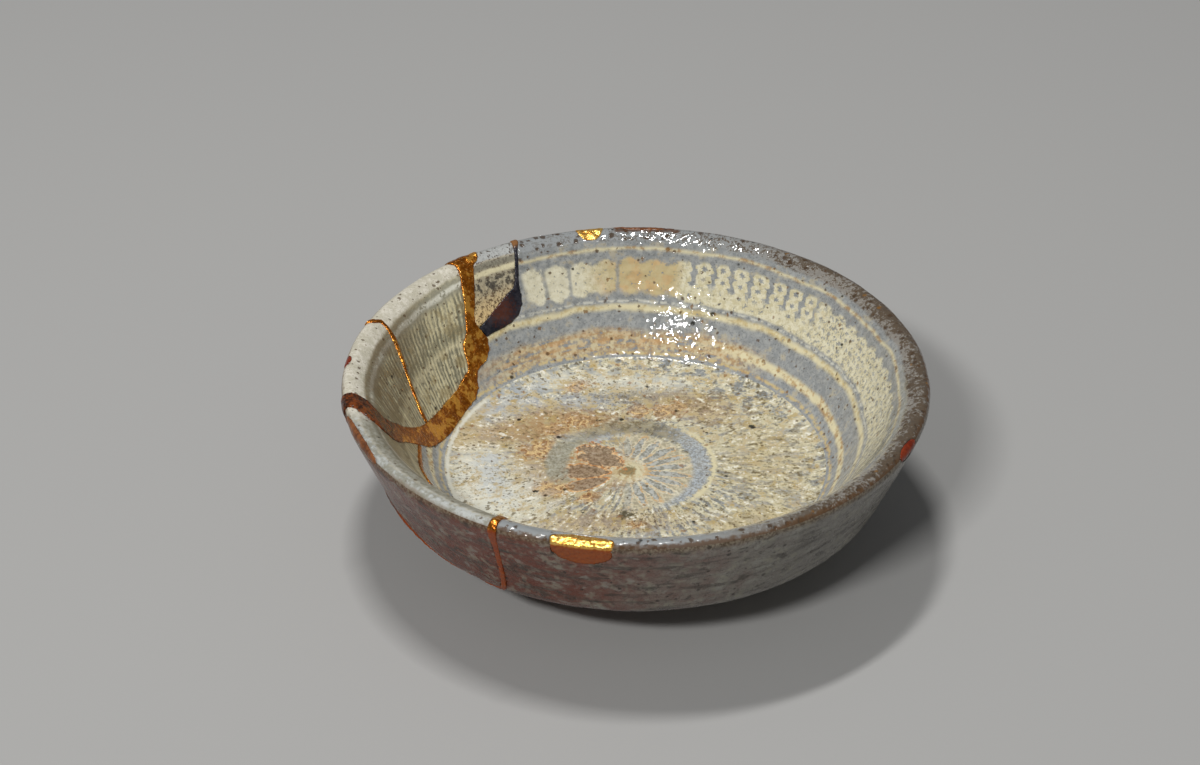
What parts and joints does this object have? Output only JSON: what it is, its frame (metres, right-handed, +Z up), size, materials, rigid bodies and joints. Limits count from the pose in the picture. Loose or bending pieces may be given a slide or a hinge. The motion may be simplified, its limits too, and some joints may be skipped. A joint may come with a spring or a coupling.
{
  "type": "sake cup",
  "caption": "Shallow stoneware sake cup with a steep wall, a keel and a small foot ring, broken at one side and mended with gold and dark lacquer seams.",
  "frame": {"origin": "on the surface that the cup stands on, under the middle of its foot", "axes": "+Z up along the cup's axis; the mended side is towards -X; the picture looks from -Y"},
  "size_m": [0.125, 0.125, 0.0383],
  "materials": {
    "stoneware": "grey-blue glaze over cream slip inlay, speckled brown, with an iron-brown rim",
    "gold_lacquer": "gold powder on lacquer, satin, worn to bronze in places",
    "black_lacquer": "polished blue-black lacquer",
    "brown_lacquer": "worn brown lacquer",
    "red_lacquer": "satin red-brown lacquer"
  },
  "bodies": {
    "root": {"cup_body": "stoneware", "sherd_back_left": "stoneware", "sherd_upper_left": "stoneware", "sherd_left": "stoneware", "sherd_front_left": "stoneware", "seam_gold_wide": "gold_lacquer", "seam_gold_thin": "gold_lacquer", "seam_front": "gold_lacquer", "seam_dark": "black_lacquer", "fill_back_gold": "gold_lacquer", "fill_front_gold": "gold_lacquer", "fill_back_brown": "brown_lacquer", "fill_left_edge": "brown_lacquer", "fill_right_red": "red_lacquer", "fill_left_red": "red_lacquer"}
  },
  "joints": []
}
